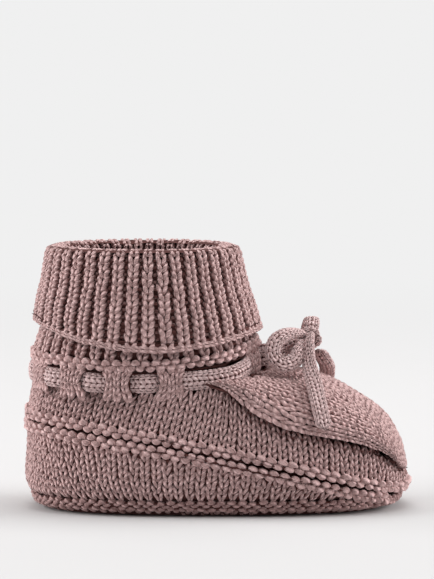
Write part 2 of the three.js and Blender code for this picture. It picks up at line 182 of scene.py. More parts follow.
PINK = cotton("cotton_pink", (0.84, 0.575, 0.56, 1), (0.19, 0.068, 0.06, 1))
# A lighter copy of the one yarn for the bow and drawstring: painted light, for the strong top light on its
# loops.
PINK_CORD_LIT = cotton("cotton_cord_painted_light", (1.0, 0.78, 0.77, 1), (0.42, 0.22, 0.21, 1), twist=0.7)
# A darker copy of the one yarn for the sole: painted shade, where the floor shades its edge.
PINK_SOLE_SHADED = cotton("cotton_sole_painted_shade", (0.64, 0.405, 0.39, 1), (0.13, 0.045, 0.04, 1))
print("finishes:", PINK.name, PINK_CORD_LIT.name, PINK_SOLE_SHADED.name)


# %% Cotton in shadow
BAR_PITCH = 0.0019     # metres from one row of crossed yarns to the next


def cotton_painted_shade(name, light, dark):
    """The crossed yarns behind the loops: rows of short bars, coloured dark as painted shade, since hardly
    any light reaches them.
    """
    material, start, place = new_finish(name)
    tree = material.node_tree
    shader = tree.nodes["Principled BSDF"]
    level = start.node("ShaderNodeSeparateXYZ", {0: place}, output=2)
    fibres = start.node("ShaderNodeTexNoise", {"Vector": place, "Scale": 900.0, "Detail": 3.0})
    rows = start.maths("SINE", level * (2 * math.pi / BAR_PITCH) + fibres * 3.0) * 0.5 + 0.5
    share = start.maths("ADD", rows * 0.5, fibres * 0.5, clamp=True)
    tree.links.new(shader.inputs["Base Color"], between(start, share, dark, light).socket)
    bump = start.node("ShaderNodeBump", {"Height": rows + fibres, "Distance": 0.0004})
    tree.links.new(shader.inputs["Normal"], bump.socket)
    shader.inputs["Roughness"].default_value = 0.95
    shader.inputs["Specular IOR Level"].default_value = 0.2
    return material


# Far darker than the pink yarn it stands for: painted shade behind the loops.
DEPTH = cotton_painted_shade("cotton_painted_shade", (0.15, 0.06, 0.054, 1), (0.05, 0.018, 0.016, 1))
print("finish behind the loops:", DEPTH.name)

# %% [markdown]
# ## The shoe's rounds
# A knitter works in rounds, and each round of the shoe is an oval seen from above. These tables say
# how far each oval lies inside the widest one, as the solids of the frame do, so that the loops lie
# on those solids. The overall sizes are read from the frame.

# %% Sizes from the frame, in millimetres
def box(node):
    low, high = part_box(node)
    return np.array(low) / MM, np.array(high) / MM


FABRIC = 2.0           # thickness of one layer
FOOT_LEVEL = 14.0      # height at which the foot's stitches are counted
ANKLE_LEVEL = 38.0     # height at which the ankle's stitches are counted
sole_low, sole_high = box("sole")
band_low, band_high = box("eyelet_band")
SOLE_EDGE = sole_high[2]
HEEL = sole_low[0] - 1.7
TOE = sole_high[0] + 1.6
HALF_WIDTH = sole_high[1] + 1.2
ANKLE_BACK = band_low[0]
ANKLE_FRONT = band_high[0]
ANKLE_HALF = band_high[1]
ANKLE_MIDDLE = (ANKLE_BACK + ANKLE_FRONT) / 2
ANKLE_LENGTH = ANKLE_FRONT - ANKLE_BACK
CUFF_TOP = box("cuff_roll")[0][2]
CUFF_ROLL = box("cuff_roll")[1][2] - CUFF_TOP
LIP_LOW, LIP_HIGH = (corner[2] for corner in box("cuff_lip"))
print("foot", round(TOE - HEEL, 1), "ankle", round(ANKLE_LENGTH, 1), "mm")

# %% Tables of the rounds
# at, then how far inside at the back, front and side, then how square the oval is
FOOT_ROUNDS = np.array([
    (0, 6.0, 8.5, 5.0, 0.78), (1.6, 2.6, 3.0, 2.0, 0.78), (4.2, 1.7, 1.6, 1.2, 0.78),
    (7, 0.3, 0.3, 0.2, 0.78), (10, 0, 0, 0, 0.78), (16, 0.4, 1.3, 0.3, 0.8),
    (22, 0.7, 3.6, 1.1, 0.82), (28, 1.0, 9.5, 2.2, 0.84), (34, 2.0, 19, 3.3, 0.86),
    (40, 2.4, 32, 3.8, 0.88)])
ANKLE_ROUNDS = np.array([
    (30, 0, 0, 0, 0.84), (43, 0.1, 0.2, 0, 0.86), (48, 1.4, 2.4, 1.1, 0.9),
    (52, 3.2, 3.4, 1.7, 0.93), (60, 5.2, 6.2, 3.3, 0.96), (67, 6.2, 8.2, 4.8, 1),
    (72, 6.2, 8.2, 4.8, 1)])
CUFF_ROUNDS = np.array([
    (0, 1.9, 1.5, -0.6, 0.94), (0.3, 2.6, 3.2, 0.1, 0.95), (0.6, 3.9, 5.3, 1.6, 0.97),
    (1, 5.2, 7.4, 3.8, 1)])
# Lines along the ankle or the foot: a share of the way, and a height
CUFF_HEM = np.array([(0, 51.2), (0.25, 46.4), (0.55, 44.4), (0.8, 46.0), (1, 48.8)])
EYELET_LINE = np.array([(0, 37.2), (0.4, 35.7), (0.8, 37.2), (1, 40.7)])
INSTEP_FOLD = np.array([
    (-0.42, 36.5), (-0.27, 34.6), (-0.09, 28.6), (0.15, 23.7), (0.39, 21.5), (0.62, 19.4),
    (0.82, 16.0), (0.92, 12.8), (1, 10.4)])
# The instep panel from ankle to toe: its crest's place and height, and its edge's place
INSTEP_ROWS = np.array([
    (0, -0.3, 38.6, -0.4), (0.2, 0.22, 38.0, -0.12), (0.4, 0.45, 35.6, 0.18),
    (0.6, 0.66, 31.0, 0.46), (0.8, 0.85, 25.2, 0.7), (0.92, 0.95, 18.2, 0.82),
    (1, 0.994, 10.9, 0.88)])
INSTEP_FULLNESS = 0.82
OVERHANG = 1.2
WELT_HEEL, WELT_FALL, RIDGE = 24.4, 21.6, 2.1
EYELET_BAND, ANKLE_RIDGE = 6.6, 2.0
JOIN = 0.3             # clearance between two pieces that touch
print("rounds listed for the foot, ankle and cuff:", len(FOOT_ROUNDS), len(ANKLE_ROUNDS), len(CUFF_ROUNDS))


# %% A smooth value between the listed ones
def smooth(table, at, column=1):
    """The table's column at any place, on a curve whose slopes come from the neighbours."""
    places, values = table[:, 0], table[:, column]
    last = len(places) - 1
    before = np.maximum(np.arange(last + 1) - 1, 0)
    after = np.minimum(np.arange(last + 1) + 1, last)
    slopes = (values[after] - values[before]) / (places[after] - places[before])
    i = np.clip(np.searchsorted(places, at, side="right") - 1, 0, last - 1)
    span = places[i + 1] - places[i]
    t = np.clip((at - places[i]) / span, 0, 1)
    ease = t * t * (3 - 2 * t)
    leave = t * (1 - t) ** 2 * span * slopes[i]
    arrive = t * t * (t - 1) * span * slopes[i + 1]
    return values[i] + (values[i + 1] - values[i]) * ease + leave + arrive


print("the toe is drawn in by", round(float(smooth(FOOT_ROUNDS, 20.0, 2)), 1), "mm at a height of 20 mm")


# %% Ovals and the walls made of them
def oval(angle, back, front, half, widest, square):
    along, aside = np.cos(angle), np.sin(angle)
    reach = np.where(along > 0, front - widest, widest - back)
    x = widest + reach * np.sign(along) * np.abs(along) ** square
    return x, half * np.sign(aside) * np.abs(aside) ** square


def oval_half(x, back, front, half, widest, square):
    reach = np.where(x > widest, front - widest, widest - back)
    share = np.minimum(np.abs(x - widest) / reach, 1)
    return half * (1 - share ** (2 / square)) ** (square / 2)


def foot_sizes(z, depth=0.0):
    back, front, side, square = (smooth(FOOT_ROUNDS, z, k) for k in (1, 2, 3, 4))
    return HEEL + back + depth, TOE - front - depth, HALF_WIDTH - side - depth, 0.0, square


def ankle_sizes(z, depth=0.0, rounds=ANKLE_ROUNDS):
    back, front, side, square = (smooth(rounds, z, k) for k in (1, 2, 3, 4))
    return (ANKLE_BACK + back + depth, ANKLE_FRONT - front - depth, ANKLE_HALF - side - depth,
            ANKLE_MIDDLE, square)


def foot_at(angle, z):
    x, y = oval(angle, *foot_sizes(z))
    return np.stack([x, y, z], -1)


def ankle_at(angle, z, depth=0.0):
    x, y = oval(angle, *ankle_sizes(z, depth))
    return np.stack([x, y, z], -1)


def cuff_at(angle, rise):
    x, y = oval(angle, *ankle_sizes(rise, -FABRIC, CUFF_ROUNDS))
    hem = smooth(CUFF_HEM, (x - ANKLE_BACK) / ANKLE_LENGTH)
    return np.stack([x, y, hem + (CUFF_TOP - hem) * rise], -1)


print("the foot is", round(2 * float(foot_sizes(10.0)[2]), 1), "mm wide")


# %% Lines drawn on the shoe
def welt(x):
    share = (x - HEEL) / (TOE - HEEL)
    level = WELT_HEEL - WELT_FALL * (share + share * share) / 2
    least = SOLE_EDGE + JOIN / 2
    return (level + least + np.hypot(level - least, 1.5)) / 2


def instep_fold(x):
    return smooth(INSTEP_FOLD, (x - ANKLE_FRONT) / (TOE - ANKLE_FRONT))


def eyelets(x):
    return smooth(EYELET_LINE, (x - ANKLE_BACK) / ANKLE_LENGTH)


print("the welt falls from", round(welt(HEEL), 1), "to", round(welt(TOE), 1), "mm")


def level_on(wall, angle, line):
    """The height at which a line crosses a wall, found by halving."""
    low, high = np.zeros_like(angle), np.full_like(angle, CUFF_TOP)
    for _ in range(20):
        middle = (low + high) / 2
        below = middle < line(wall(angle, middle)[..., 0])
        low, high = np.where(below, middle, low), np.where(below, high, middle)
    return low


def instep_at(u, v):
    """The instep panel: u across from its right edge to its left, v from the ankle to the toe."""
    turn = (u - 0.5) * math.pi
    rise = np.cos(turn) ** INSTEP_FULLNESS
    reach = TOE - ANKLE_FRONT
    edge_x = ANKLE_FRONT + reach * smooth(INSTEP_ROWS, v, 3)
    crest_x = ANKLE_FRONT + reach * smooth(INSTEP_ROWS, v, 1)
    edge_z = instep_fold(edge_x)
    half = oval_half(edge_x, *foot_sizes(edge_z)) + OVERHANG
    z = edge_z + (smooth(INSTEP_ROWS, v, 2) - edge_z) * rise
    return np.stack([edge_x + (crest_x - edge_x) * rise, half * np.sin(turn), z], -1)


# %% [markdown]
# ## Cloth
# Knitting is counted in stitches and rows. A `Cloth` turns a stitch number, a row number and a
# height over the fabric into a place on the shoe, so a loop drawn once on flat fabric can be copied
# to any stitch of any piece. It keeps a fine net of places and outward directions to look up.

# %% The cloth
NET = 3                # points of the net for each stitch and each row
NET_LOW = -1.5         # the net's lowest row
LEAST = 1e-9


class Cloth:
    """Where each stitch (s, to the right) and row (t, upwards) of a piece of knitting lies."""

    def __init__(self, place, stitches, rows, closed=True):
        self.closed, self.stitches = closed, stitches
        s = np.arange(-NET, (stitches + 1) * NET + 1) / NET
        t = np.arange(0, (rows + 3) * NET + 1) / NET + NET_LOW
        grid_s, grid_t = np.meshgrid(s, t, indexing="ij")
        self.points = place(grid_s, grid_t)
        rightwards, upwards = np.gradient(self.points, axis=0), np.gradient(self.points, axis=1)
        out = np.cross(rightwards, upwards)
        self.out = out / np.maximum(np.linalg.norm(out, axis=-1, keepdims=True), LEAST)

    def at(self, s, t, height):
        s = np.mod(s, self.stitches) if self.closed else s
        a, b = (s + 1) * NET, (t - NET_LOW) * NET
        i = np.clip(np.floor(a).astype(int), 0, self.points.shape[0] - 2)
        j = np.clip(np.floor(b).astype(int), 0, self.points.shape[1] - 2)
        f, g = (a - i)[..., None], (b - j)[..., None]

        def look_up(net):
            low = net[i, j] * (1 - f) + net[i + 1, j] * f
            high = net[i, j + 1] * (1 - f) + net[i + 1, j + 1] * f
            return low * (1 - g) + high * g

        out = look_up(self.out)
        out = out / np.maximum(np.linalg.norm(out, axis=-1, keepdims=True), LEAST)
        return look_up(self.points) + out * np.asarray(height)[..., None]


def lengths_along(line):
    """The length of a line of points from its start to each of them."""
    return np.concatenate([[0], np.cumsum(np.linalg.norm(np.diff(line, axis=0), axis=1))])


def even_angles(wall, height):
    """Angles round a wall whose steps all have the same length, as a function of the share."""
    angles = np.linspace(0, 2 * math.pi, 1441)
    round_line = wall(angles, np.full_like(angles, height))
    length = lengths_along(round_line[:, :2])

    def turn(share):
        whole = np.floor(share)
        return np.interp(share - whole, length / length[-1], angles) + 2 * math.pi * whole

    return turn, length[-1]


# %% [markdown]
# ## Loops
# A loop's yarn is drawn as a line with a width and a thickness along it, and `strand` wraps a
# six-sided tube round it. All of a stitch's strands together have a few dozen faces, because it is
# copied hundreds of times.

# %% A strand of yarn
SIDES = 6


def strand(line, wide, thick):
    """A closed tube round a line in flat fabric: points, faces, and a map of along and around."""
    line = np.asarray(line, float)
    along = np.gradient(line, axis=0)
    along /= np.linalg.norm(along, axis=1, keepdims=True)
    aside = np.cross(along, (0, 0, 1.0))
    aside /= np.linalg.norm(aside, axis=1, keepdims=True)
    up = np.cross(aside, along)
    turn = np.arange(SIDES) * 2 * math.pi / SIDES
    across = np.cos(turn)[None, :, None] * (np.ones(len(line)) * wide)[:, None, None]
    above = np.sin(turn)[None, :, None] * (np.ones(len(line)) * thick)[:, None, None]
    points = line[:, None] + across * aside[:, None] + above * up[:, None]
    length = lengths_along(line)
    faces, maps = [], []
    for i in range(len(line) - 1):
        for j in range(SIDES):
            k = (j + 1) % SIDES
            faces.append((i * SIDES + j, (i + 1) * SIDES + j, (i + 1) * SIDES + k, i * SIDES + k))
            a, b = j / SIDES, (j + 1) / SIDES
            maps.append(((length[i], a), (length[i + 1], a), (length[i + 1], b), (length[i], b)))
    end = (len(line) - 1) * SIDES
    for half in ((0, 1, 2, 3), (3, 4, 5, 0)):
        faces.append(half)
        maps.append(((0, 0),) * 4)
    for half in ((3, 2, 1, 0), (0, 5, 4, 3)):
        faces.append(tuple(end + corner for corner in half))
        maps.append(((0, 0),) * 4)
    return points.reshape(-1, 3), np.array(faces), np.array(maps, float)


def stitch(*strands):
    """Several strands as one copyable stitch."""
    starts = np.cumsum([0] + [len(points) for points, _, _ in strands])
    points = np.concatenate([points for points, _, _ in strands])
    faces = np.concatenate([faces + start for (_, faces, _), start in zip(strands, starts)])
    return points, faces, np.concatenate([maps for _, _, maps in strands])


# %% The stitches
def leg(side, width, row, gauge, top=0.0):
    """One leg of a V: it rises from the middle of the stitch and dives under at both ends."""
    t = np.linspace(0, 1, 7)
    ease = t * t * (3 - 2 * t)
    x = side * width * (0.11 + 0.28 * ease)
    y = row * (-0.45 + 1.6 * t)
    arch = np.sin(math.pi * np.clip(t * 0.94 + 0.05, 0, 1)) ** 0.7
    h = top - gauge * 0.62 - gauge * 0.85 * (1 - arch) - 0.1 * gauge * t
    full = 0.6 + 0.4 * np.sin(math.pi * np.clip(t, 0.02, 0.98)) ** 0.6
    return strand(np.stack([x, y, h], -1), gauge * 0.5 * full, gauge * 0.52 * full)


def plain(width, row, gauge, top=0.0):
    """A knit stitch: the V of two legs."""
    return stitch(leg(1, width, row, gauge, top), leg(-1, width, row, gauge, top))


def bead(width, row, gauge, top=0.0, reach=0.46, bend=0.45, right=0.0, up=0.0, tilt=0.06):
    """A purl bump: a short strand across the stitch, bent like a brow, whose ends sink deep."""
    t = np.linspace(-1, 1, 7)
    x = width * (reach * t + right)
    y = row * (bend * (0.5 - t * t) + up + tilt * t)
    h = top - gauge * 0.5 - gauge * 1.05 * np.abs(t) ** 3
    full = 0.68 + 0.32 * (1 - t * t)
    return strand(np.stack([x, y, h], -1), gauge * 0.5 * full, gauge * 0.52 * full)


def garter(width, row, gauge, top=0.0):
    """A ridge stitch: a full bump, and a smaller one below it, half a stitch along."""
    upper = bead(width, row, gauge, top, 0.43, 0.18, up=0.13)
    lower = bead(width, row, gauge * 0.98, top - 0.1, 0.42, -0.18, 0.5, -0.15)
    return stitch(upper, lower)


WIDTH, ROW, GAUGE = 2.76, 1.82, 0.98      # plain knitting: stitch, row and yarn
RIB, RIB_ROW, RIB_GAUGE = 4.4, 2.1, 1.45  # one knit and one purl stitch of the rib together
PLAIN = plain(WIDTH, ROW, GAUGE)
GARTER = garter(WIDTH, 3.5, 1.75, 0.5)
print("faces in a plain stitch:", len(PLAIN[1]), "in a ridge stitch:", len(GARTER[1]))

# %% [markdown]
# ## Knitting a piece
# `Work` gathers the copies of a piece's stitches and makes one mesh of them. Hand-guided machines
# leave small differences, so each copy is moved and shaded by a hair, from a seeded generator.
# Behind the loops lies the piece's own solid from the frame, drawn in by about a yarn's depth: it
# closes the piece and shows between the loops as the crossings, coloured dark as painted shade.

# %% Gather the loops of a piece
class Work:
    def __init__(self, name, seed):
        self.name, self.random = name, np.random.default_rng(seed)
        self.points, self.faces, self.maps, self.shade, self.sunk = [], [], [], [], []
        self.count = 0

    def knit(self, cloth, form, cells, pitch, height=0.0, loose=0.05):
        """Copies a stitch to each cell (stitch, row). It drifts a hair, and lies at a height."""
        points, faces, maps = form
        cells = np.asarray(cells, float)
        n, k = len(cells), len(points)
        drift = self.random.normal(0, loose, (n, 3)) * (1, 1, 0.8)
        s = cells[:, :1] + drift[:, :1] + points[:, 0] / pitch[0]
        t = cells[:, 1:2] + drift[:, 1:2] + points[:, 1] / pitch[1]
        h = points[:, 2] + np.broadcast_to(np.asarray(height, float), (n,))[:, None] + drift[:, 2:]
        self.points.append(cloth.at(s, t, h).reshape(-1, 3))
        self.faces.append((faces[None] + (np.arange(n) * k)[:, None, None]).reshape(-1, 4) + self.count)
        shift = self.random.uniform(0, PLY_PITCH, (n, 1, 1))
        moved = np.broadcast_to(maps[None], (n, *maps.shape)).copy()
        moved[..., 0] += shift
        self.maps.append(moved.reshape(-1, 2))
        self.shade.append(np.repeat(self.random.uniform(0, 1, n), k))
        # How deep each point lies under the fabric's face; the yarn's colour darkens by it as painted shade.
        self.sunk.append(np.clip(-(h + 0.5), 0, 1).ravel())
        self.count += n * k

    def make(self, material):
        """The mesh of all the loops, in metres."""
        faces = np.concatenate(self.faces)
        mesh = bpy.data.meshes.new(self.name)
        mesh.vertices.add(self.count)
        mesh.vertices.foreach_set("co", (np.concatenate(self.points) * MM).ravel())
        mesh.loops.add(faces.size)
        mesh.loops.foreach_set("vertex_index", faces.ravel())
        mesh.polygons.add(len(faces))
        mesh.polygons.foreach_set("loop_start", np.arange(0, faces.size, 4))
        mesh.polygons.foreach_set("use_smooth", np.ones(len(faces), bool))
        mesh.update(calc_edges=True)
        mesh.uv_layers.new(name="yarn").data.foreach_set("uv", np.concatenate(self.maps).ravel())
        for name, values in (("shade", self.shade), ("sunk", self.sunk)):
            mesh.attributes.new(name, "FLOAT", "POINT").data.foreach_set("value", np.concatenate(values))
        mesh.materials.append(material)
        piece = bpy.data.objects.new(self.name, mesh)
        bpy.context.scene.collection.objects.link(piece)
        return piece


# %% Put the frame's solid behind the loops
def deselect():
    for piece in bpy.context.selected_objects:
        piece.select_set(False)


# The line inside the shoe that its sides face away from: its ends and its greatest height, in metres
FOOT_SPINE = (-0.022, 0.03, 0.012)
ANKLE_SPINE = (-0.03, -0.008, 1.0)
ANKLE_FOOT = 30.0      # mm, the height over which a piece belongs to the ankle


def backing(node, drawn_in, visible_side=1):
    """A copy of a frame solid with its visible side drawn in: 1 outer, -1 inner, 0 all round."""
    deselect()
    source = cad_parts[node]
    copy = bpy.data.objects.new(node + "_backing", source.data.copy())
    bpy.context.scene.collection.objects.link(copy)
    bpy.context.view_layer.objects.active = copy
    copy.select_set(True)
    bpy.ops.object.mode_set(mode="EDIT")
    bpy.ops.mesh.select_all(action="SELECT")
    bpy.ops.mesh.remove_doubles(threshold=0.000002)
    bpy.ops.object.mode_set(mode="OBJECT")
    back, front, top = ANKLE_SPINE if box(node)[0][2] > ANKLE_FOOT else FOOT_SPINE
    for vertex in copy.data.vertices:
        x, y, z = vertex.co
        spine = Vector((min(max(x, back), front), 0, min(z, top)))
        outward = (vertex.co - spine).normalized() * visible_side
        share = min(max(vertex.normal.dot(outward) * 1.6, 0), 1) if visible_side else 1
        vertex.co = vertex.co - vertex.normal * share * drawn_in * MM
    # The backing takes the dark finish: painted shade between the loops.
    copy.data.materials.clear()
    copy.data.materials.append(DEPTH)
    return copy


def join_up(piece, behind, body, node):
    """Joins loops with what lies behind them, and lets the piece stand for its frame node."""
    deselect()
    for part in behind:
        part.select_set(True)
    piece.select_set(True)
    bpy.context.view_layer.objects.active = piece
    bpy.ops.object.join()
    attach(piece, body)
    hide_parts(node)
    print(piece.name, "triangles:", sum(len(face.vertices) - 2 for face in piece.data.polygons))


def finish_piece(work, node, body, drawn_in=1.0, material=PINK, visible_side=1):
    """A piece of fabric: its loops over its backing."""
    piece = work.make(material)
    join_up(piece, [backing(node, drawn_in, visible_side)], body, node)


def cells_of(stitches, rows, first_row=0.0, offset=0.5):
    """All the cells of a piece: each stitch's middle, and its row."""
    s, t = np.meshgrid(np.arange(stitches) + offset, np.arange(rows) + first_row, indexing="ij")
    return np.stack([s.ravel(), t.ravel()], -1)


# %% [markdown]
# ## Sole
# The sole is a garter-stitch pad: short bars on its edge, and more of them under the foot. A padded
# slab with a bumpy finish would look smooth at its edge, where the light catches every bar, so the
# bars are real. Those underneath are kept just clear of the floor.

# %% Sole
foot_turn, foot_length = even_angles(foot_at, FOOT_LEVEL)
FOOT_STITCHES = round(foot_length / WIDTH)
EDGE_ROW = 2.0
EDGE_GAUGE = 1.3
UNDERSIDE_ROW = 2.6
UNDERSIDE_GAUGE = 1.1
SHORT_STEP = 0.002     # share of a round over which its direction is measured


def around_foot(s, t, base, row, slant=lambda x: 0.0):
    """A point of the foot's wall: t rows above a base line, its columns leaning by a slant at x."""
    share = s / FOOT_STITCHES
    level = base * 0 + FOOT_LEVEL
    here, ahead = (foot_at(foot_turn(share + step), level)[..., 0] for step in (0, SHORT_STEP))
    forwards = (ahead - here) / (SHORT_STEP * foot_length)
    share = share + slant(here) * forwards * t * row / foot_length
    angle = foot_turn(share)
    return foot_at(angle, np.clip(base + t * row, 0.0, 40))


edge = Cloth(lambda s, t: around_foot(s, t, 0 * s + 1.2, EDGE_ROW), FOOT_STITCHES, 2)
UNDER_STITCHES = round((sole_high[1] - sole_low[1]) / WIDTH)
UNDER_ROWS = round((sole_high[0] - sole_low[0]) / UNDERSIDE_ROW)
under = Cloth(
    lambda s, t: np.stack([sole_low[0] + t * UNDERSIDE_ROW, sole_low[1] + s * WIDTH, 0 * s], -1),
    UNDER_STITCHES, UNDER_ROWS, closed=False)
cells = cells_of(UNDER_STITCHES, UNDER_ROWS)
places = under.at(cells[:, 0], cells[:, 1], 0 * cells[:, 0])
inside = np.abs(places[:, 1]) < oval_half(places[:, 0], *foot_sizes(np.array(0.4), 1.0))
sole = Work("sole_knitting", 1)
sole.knit(edge, garter(WIDTH, EDGE_ROW, EDGE_GAUGE), cells_of(FOOT_STITCHES, 2), (WIDTH, EDGE_ROW), 0.0, 0.08)
sole.knit(under, garter(WIDTH, 2.2, UNDERSIDE_GAUGE), cells[inside], (WIDTH, UNDERSIDE_ROW), -0.1, 0.02)
# The sole takes the darker copy of the yarn: painted shade from the floor.
finish_piece(sole, "sole", "shoe", 0.7, PINK_SOLE_SHADED)

# %% [markdown]
# ## Side walls and the welt
# The lower wall is a wedge of plain knitting between the sole and a sloping welt, which is two
# garter ridges with a dark groove between them. Above the welt the columns stand square to it, so
# they lean towards the toe. Trimming the finished mesh along the welt would cut loops in half. A
# knitter works whole stitches, so whole stitches are left out where the next piece covers a wall.

# %% Lower wall
LOWER_BASE = SOLE_EDGE + 0.9
LOWER_ROWS = 11
SLANT_PLACES = (0, 0.25, 0.45, 0.8, 1)     # shares of the way from the heel to the toe
LOWER_SLANTS = (-0.55, -0.22, 0.02, 0.26, 0.36)


def lower_slant(x):
    """The columns spread from the middle of the sole towards the heel and the toe."""
    return np.interp((x - HEEL) / (TOE - HEEL), SLANT_PLACES, LOWER_SLANTS)


def lower_place(s, t):
    return around_foot(s, t, 0 * s + LOWER_BASE, ROW, lower_slant)


lower_cloth = Cloth(lower_place, FOOT_STITCHES, LOWER_ROWS)
cells = cells_of(FOOT_STITCHES, LOWER_ROWS)
places = lower_cloth.at(cells[:, 0], cells[:, 1], 0 * cells[:, 0])
cells = cells[places[:, 2] < welt(places[:, 0]) - RIDGE - 0.9]
lower = Work("lower_wall_knitting", 2)
lower.knit(lower_cloth, PLAIN, cells, (WIDTH, ROW))
finish_piece(lower, "lower_wall", "shoe")


# %% Welt ridges
GROOVE_BELOW, GROOVE_ABOVE = 0.65, 0.75    # from the welt's line to each ridge's edge


def ridge_place(line):
    """A round of ridge stitches that follows a line drawn on the foot."""
    def place(s, t):
        angle = foot_turn(s / FOOT_STITCHES)
        base = level_on(foot_at, angle, line)
        return foot_at(angle, base + t * RIDGE)
    return place


def ridge(node, line, seed):
    cloth = Cloth(ridge_place(line), FOOT_STITCHES, 1)
    cells = cells_of(FOOT_STITCHES, 1)
    places = cloth.at(cells[:, 0], cells[:, 1], 0 * cells[:, 0])
    work = Work(node + "_knitting", seed)
    work.knit(cloth, GARTER, cells[places[:, 2] > SOLE_EDGE - 0.4], (WIDTH, RIDGE), 0.35, 0.05)
    finish_piece(work, node, "shoe", 1.7)


ridge("welt_lower_ridge", lambda x: welt(x) - RIDGE / 2 - GROOVE_BELOW, 3)
ridge("welt_upper_ridge", lambda x: welt(x) + RIDGE / 2 + GROOVE_ABOVE, 4)

# %% Upper wall
UPPER_ROWS = 11
WELT_SLANT = 0.2       # how far the columns lean towards the toe for each step up
STRING_ROOM = 3.1      # distance from the drawstring's middle kept free of other stitches
WINDOW = 4.2           # height of the openings that show the drawstring
TUCK = 3.5             # how far down the wall draws in under the instep panel's fold
BRIDGES = (0.4, 1.41, 1.76, 2.2, 2.72)     # angles of the stitches over the drawstring
seen_angles = np.linspace(BRIDGES[0] + 0.16, BRIDGES[1], 40)
seen_string = ankle_at(seen_angles, level_on(ankle_at, seen_angles, eyelets))


def away_from_string(places):
    """False for the stitches that would cover the drawstring where it lies on the shoe's side."""
    sides = np.abs(places) * (0, 1, 0) + places * (1, 0, 1)
    gaps = np.linalg.norm(sides[:, None] - seen_string[None], axis=-1).min(axis=1)
    return gaps > STRING_ROOM


def upper_place(s, t):
    share = s / FOOT_STITCHES
    base = level_on(foot_at, foot_turn(share), welt) + RIDGE + 0.9
    return around_foot(s, t, base, ROW, lambda x: WELT_SLANT)


def upper_limit(x):
    """Where the eyelet round or the instep panel covers the wall."""
    return np.minimum(instep_fold(x) + 0.4, eyelets(x) - WINDOW / 2)


upper_cloth = Cloth(upper_place, FOOT_STITCHES, UPPER_ROWS)
cells = cells_of(FOOT_STITCHES, UPPER_ROWS)
places = upper_cloth.at(cells[:, 0], cells[:, 1], 0 * cells[:, 0])
keep = (places[:, 2] < upper_limit(places[:, 0]) - 0.6) & away_from_string(places)
cells, places = cells[keep], places[keep]
tucked = np.clip(1 - (instep_fold(places[:, 0]) - places[:, 2]) / TUCK, 0, 1)
upper = Work("upper_wall_knitting", 5)
upper.knit(upper_cloth, PLAIN, cells, (WIDTH, ROW), -1.1 * tucked)
finish_piece(upper, "upper_wall", "shoe", 1.4)

# %% [markdown]
# ## Instep panel
# The panel over the toes is knitted lengthwise, from the ankle to the toe, and stands out over the
# side walls in a deep fold. Draping a flat sheet over the toes would wrinkle it, and the real panel
# is smooth, because it is knitted to shape. So its rows are spaced evenly along its own length,
# which is measured first, and stitches that would lie inside the ankle are left out.

# %% Instep panel
PANEL_STITCHES = 23
PANEL_GAUGE = 1.15
ROLLED = 0.7           # how far the panel's edge rolls out
v_fine = np.linspace(0, 1, 241)
quarter = instep_at(np.full_like(v_fine, 0.3), v_fine)
panel_length = lengths_along(quarter)
PANEL_ROWS = round(panel_length[-1] / ROW)
u_fine = np.linspace(0.0, 1.0, 241)
section = instep_at(u_fine, np.full_like(u_fine, 0.5))
panel_width = lengths_along(section)
PANEL_WIDTH = panel_width[-1] / PANEL_STITCHES


def panel_place(s, t):
    share = np.clip(s / PANEL_STITCHES, -0.02, 1.02)
    u = 1 - np.interp(share, panel_width / panel_width[-1], u_fine)
    v = np.interp(t / PANEL_ROWS, panel_length / panel_length[-1], v_fine)
    return instep_at(np.clip(u, 0.0, 1.0), v)


panel_cloth = Cloth(panel_place, PANEL_STITCHES, PANEL_ROWS, closed=False)
cells = cells_of(PANEL_STITCHES, PANEL_ROWS)
places = panel_cloth.at(cells[:, 0], cells[:, 1], 0 * cells[:, 0])
covered = np.abs(places[:, 1]) < oval_half(places[:, 0], *ankle_sizes(places[:, 2], -0.6))
covered &= places[:, 2] < eyelets(places[:, 0]) + EYELET_BAND / 2
panel = Work("instep_panel_knitting", 6)
cells = cells[~covered & away_from_string(places)]
from_edge = np.minimum(cells[:, 0], PANEL_STITCHES - cells[:, 0])
rolled = ROLLED * np.exp(-((from_edge - 1.2) / 1.2) ** 2)
panel.knit(panel_cloth, plain(PANEL_WIDTH, ROW, PANEL_GAUGE), cells, (PANEL_WIDTH, ROW), rolled)
finish_piece(panel, "instep_panel", "shoe")
print("instep panel", PANEL_STITCHES, "by", PANEL_ROWS, "stitches of", round(PANEL_WIDTH, 2), "mm")

# %% [markdown]
# ## Ankle
# The drawstring runs in a thick round. Raised columns of stitches bridge it, and between them it
# shows in its windows. Holes could be cut into a closed round, but their edges would be straight
# and hard, so only the bridges are knitted. Over them lie a ridge and the rib that the cuff hides.

# %% Eyelet round
ankle_turn, ankle_length = even_angles(ankle_at, ANKLE_LEVEL)
ANKLE_STITCHES = round(ankle_length / WIDTH)
BRIDGE_STITCHES = 3
BRIDGE_PITCH = 2.2
BAND_ROWS = 5
BAND_ROW = 1.85
BRIDGE_GAUGE = 1.05
HEEL_ROWS = 4


